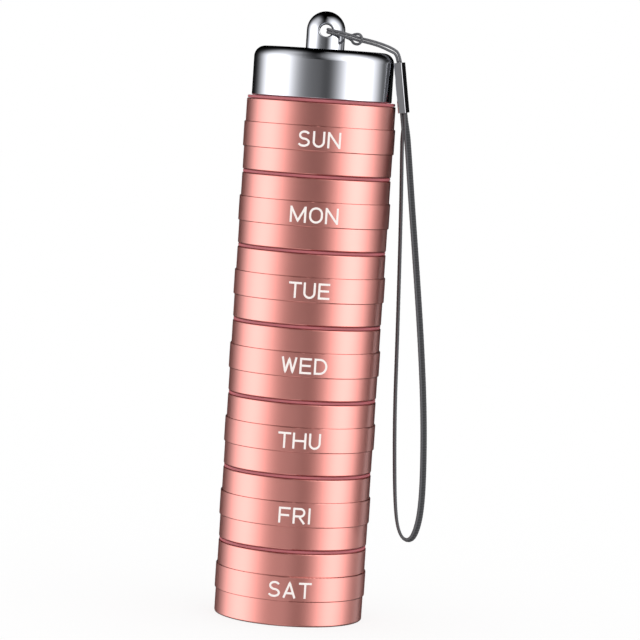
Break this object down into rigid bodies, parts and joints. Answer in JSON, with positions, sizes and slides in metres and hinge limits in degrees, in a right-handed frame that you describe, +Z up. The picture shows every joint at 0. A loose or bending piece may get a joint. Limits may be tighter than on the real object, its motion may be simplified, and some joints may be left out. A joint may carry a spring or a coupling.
{
  "type": "stackable pill organizer",
  "caption": "Slim cylinder of stacked screw-together day cups with raised bands and sealing rings, under a domed-edge chrome cap with a cross-drilled post and a wrist strap.",
  "frame": {"origin": "centre of the underside of the closed base", "axes": "+Z up the stack; -Y towards the lettered front; +X towards the side where the strap hangs"},
  "size_m": [0.0376, 0.0278, 0.112],
  "materials": {
    "rose_metal": "satin, rose-coloured, fine turned lines",
    "seal_rubber": "matte rose silicone",
    "cap_chrome": "mirror-bright",
    "screw_steel": "plain bright",
    "cord_braid": "thin braided cord",
    "crimp_steel": "bright, pressed",
    "strap_weave": "flat woven strap"
  },
  "bodies": {
    "base": {"cup_sat": "rose_metal"},
    "ring_sat": {"seal_sat": "seal_rubber"},
    "section_fri": {"cup_fri": "rose_metal"},
    "ring_fri": {"seal_fri": "seal_rubber"},
    "section_thu": {"cup_thu": "rose_metal"},
    "ring_thu": {"seal_thu": "seal_rubber"},
    "section_wed": {"cup_wed": "rose_metal"},
    "ring_wed": {"seal_wed": "seal_rubber"},
    "section_tue": {"cup_tue": "rose_metal"},
    "ring_tue": {"seal_tue": "seal_rubber"},
    "section_mon": {"cup_mon": "rose_metal"},
    "ring_mon": {"seal_mon": "seal_rubber"},
    "section_sun": {"cup_sun": "rose_metal"},
    "ring_sun": {"seal_sun": "seal_rubber"},
    "cap": {"cap_shell": "cap_chrome", "lanyard_post": "cap_chrome", "post_screw": "screw_steel", "lanyard_cord": "cord_braid", "crimp_ferrule": "crimp_steel", "wrist_strap": "strap_weave"}
  },
  "joints": [
    {"name": "turn_fri", "type": "hinge", "parent": "base", "child": "ring_sat", "pos_m": [0, 0, 0.01405], "axis": [0, 0, 1], "range_deg": [0, 810]},
    {"name": "rise_fri", "type": "slide", "parent": "ring_sat", "child": "section_fri", "axis": [0, 0, 1], "range_m": [0, 0.00452]},
    {"name": "turn_thu", "type": "hinge", "parent": "section_fri", "child": "ring_fri", "pos_m": [0, 0, 0.0277], "axis": [0, 0, 1], "range_deg": [0, 810]},
    {"name": "rise_thu", "type": "slide", "parent": "ring_fri", "child": "section_thu", "axis": [0, 0, 1], "range_m": [0, 0.00452]},
    {"name": "turn_wed", "type": "hinge", "parent": "section_thu", "child": "ring_thu", "pos_m": [0, 0, 0.04135], "axis": [0, 0, 1], "range_deg": [0, 810]},
    {"name": "rise_wed", "type": "slide", "parent": "ring_thu", "child": "section_wed", "axis": [0, 0, 1], "range_m": [0, 0.00452]},
    {"name": "turn_tue", "type": "hinge", "parent": "section_wed", "child": "ring_wed", "pos_m": [0, 0, 0.055], "axis": [0, 0, 1], "range_deg": [0, 810]},
    {"name": "rise_tue", "type": "slide", "parent": "ring_wed", "child": "section_tue", "axis": [0, 0, 1], "range_m": [0, 0.00452]},
    {"name": "turn_mon", "type": "hinge", "parent": "section_tue", "child": "ring_tue", "pos_m": [0, 0, 0.06865], "axis": [0, 0, 1], "range_deg": [0, 810]},
    {"name": "rise_mon", "type": "slide", "parent": "ring_tue", "child": "section_mon", "axis": [0, 0, 1], "range_m": [0, 0.00452]},
    {"name": "turn_sun", "type": "hinge", "parent": "section_mon", "child": "ring_mon", "pos_m": [0, 0, 0.0823], "axis": [0, 0, 1], "range_deg": [0, 810]},
    {"name": "rise_sun", "type": "slide", "parent": "ring_mon", "child": "section_sun", "axis": [0, 0, 1], "range_m": [0, 0.00452]},
    {"name": "turn_cap", "type": "hinge", "parent": "section_sun", "child": "ring_sun", "pos_m": [0, 0, 0.09595], "axis": [0, 0, 1], "range_deg": [0, 810]},
    {"name": "rise_cap", "type": "slide", "parent": "ring_sun", "child": "cap", "axis": [0, 0, 1], "range_m": [0, 0.00452]}
  ],
  "couplings": [
    {"joint": "rise_fri", "follows": "turn_fri", "m_per_rad": 0.00031831},
    {"joint": "rise_thu", "follows": "turn_thu", "m_per_rad": 0.00031831},
    {"joint": "rise_wed", "follows": "turn_wed", "m_per_rad": 0.00031831},
    {"joint": "rise_tue", "follows": "turn_tue", "m_per_rad": 0.00031831},
    {"joint": "rise_mon", "follows": "turn_mon", "m_per_rad": 0.00031831},
    {"joint": "rise_sun", "follows": "turn_sun", "m_per_rad": 0.00031831},
    {"joint": "rise_cap", "follows": "turn_cap", "m_per_rad": 0.00031831}
  ]
}
